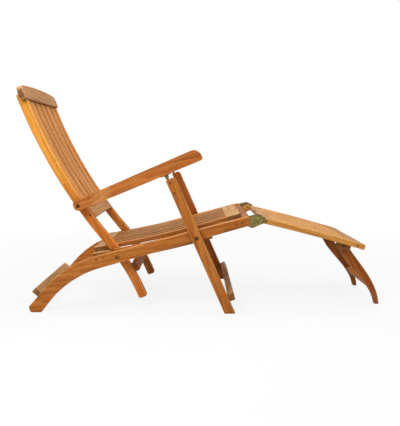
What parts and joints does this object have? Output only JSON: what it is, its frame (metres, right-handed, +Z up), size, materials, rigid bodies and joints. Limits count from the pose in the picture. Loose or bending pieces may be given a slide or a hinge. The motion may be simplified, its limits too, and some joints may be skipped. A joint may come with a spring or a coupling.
{
  "type": "folding steamer deck chair",
  "caption": "Reclining wooden steamer deck chair with slatted back and seat, sloping arms, crossed legs that fold with the back, and a hinged footrest on folding legs.",
  "frame": {"origin": "on the floor under the middle of the chair's box", "axes": "+X along the chair to the foot end, +Y to the sitter's left, +Z up"},
  "size_m": [1.5374, 0.58, 0.9439],
  "materials": {
    "teak_frame": "oiled teak",
    "teak_stiles": "oiled teak, golden",
    "teak_arms": "oiled teak",
    "teak_slats": "oiled teak",
    "teak_boards": "oiled teak, paler",
    "brass_fittings": "tarnished",
    "brass_bolts": "tarnished dark"
  },
  "bodies": {
    "seat_frame": {"side_rail_right": "teak_frame", "side_rail_left": "teak_frame", "seat_ledger_right": "teak_frame", "seat_ledger_left": "teak_frame", "rear_stretcher": "teak_frame", "back_stop_rail": "teak_frame", "seat_middle_bearer": "teak_frame", "seat_front_bearer": "teak_frame", "seat_rear_board": "teak_boards", "seat_front_board": "teak_boards", "seat_slat_1": "teak_slats", "seat_slat_2": "teak_slats", "seat_slat_3": "teak_slats", "seat_slat_4": "teak_slats", "seat_slat_5": "teak_slats", "seat_slat_6": "teak_slats", "seat_slat_7": "teak_slats", "footrest_plate_right": "brass_fittings", "footrest_plate_left": "brass_fittings", "plate_screws": "brass_bolts", "seat_screws": "brass_bolts", "back_pivot_bolts": "brass_bolts", "leg_pivot_bolts": "brass_bolts", "footrest_pivot_pins": "brass_bolts"},
    "backrest": {"back_stile_right": "teak_stiles", "back_stile_left": "teak_stiles", "headrest_board": "teak_boards", "back_slat_1": "teak_slats", "back_slat_2": "teak_slats", "back_slat_3": "teak_slats", "back_slat_4": "teak_slats", "back_slat_5": "teak_slats", "back_lower_board": "teak_boards", "back_lower_stretcher": "teak_frame", "headrest_screws": "brass_bolts", "arm_bolt_inserts": "brass_fittings"},
    "front_legs": {"front_leg_right": "teak_frame", "front_leg_left": "teak_frame", "front_leg_stretcher": "teak_frame", "leg_hinge_tongues": "brass_fittings", "leg_tongue_pins": "brass_bolts"},
    "arms": {"armrest_right": "teak_arms", "armrest_left": "teak_arms", "arm_hinge_brackets": "brass_fittings", "arm_hinge_pins": "brass_fittings", "arm_bolts": "brass_bolts"},
    "footrest": {"footrest_rail_right": "teak_frame", "footrest_rail_left": "teak_frame", "footrest_rear_board": "teak_boards", "footrest_end_rail": "teak_boards", "footrest_slat_1": "teak_slats", "footrest_slat_2": "teak_slats", "footrest_slat_3": "teak_slats", "footrest_slat_4": "teak_slats", "footrest_slat_5": "teak_slats", "footrest_leg_blocks": "teak_frame", "footrest_leg_bolts": "brass_bolts"},
    "footrest_legs": {"footrest_leg_right": "teak_frame", "footrest_leg_left": "teak_frame", "footrest_leg_stretcher": "teak_frame"}
  },
  "joints": [
    {"name": "back_fold", "type": "hinge", "parent": "seat_frame", "child": "backrest", "pos_m": [-0.367, 0, 0.2365], "axis": [0, 1, 0], "range_deg": [0, 80]},
    {"name": "front_leg_fold", "type": "hinge", "parent": "seat_frame", "child": "front_legs", "pos_m": [-0.038, 0, 0.319], "axis": [0, 1, 0], "range_deg": [0, 85.3]},
    {"name": "arm_fold", "type": "hinge", "parent": "front_legs", "child": "arms", "pos_m": [-0.158, 0, 0.568], "axis": [0, -1, 0], "range_deg": [0, 71.5]},
    {"name": "footrest_tilt", "type": "hinge", "parent": "seat_frame", "child": "footrest", "pos_m": [0.22, 0, 0.388], "axis": [0, -1, 0], "range_deg": [0, 60]},
    {"name": "footrest_leg_fold", "type": "hinge", "parent": "footrest", "child": "footrest_legs", "pos_m": [0.59727, 0, 0.26771], "axis": [0, 1, 0], "range_deg": [0, 118]}
  ],
  "couplings": [
    {"joint": "front_leg_fold", "follows": "back_fold", "ratio": 1.0652},
    {"joint": "arm_fold", "follows": "back_fold", "ratio": 0.89204}
  ]
}
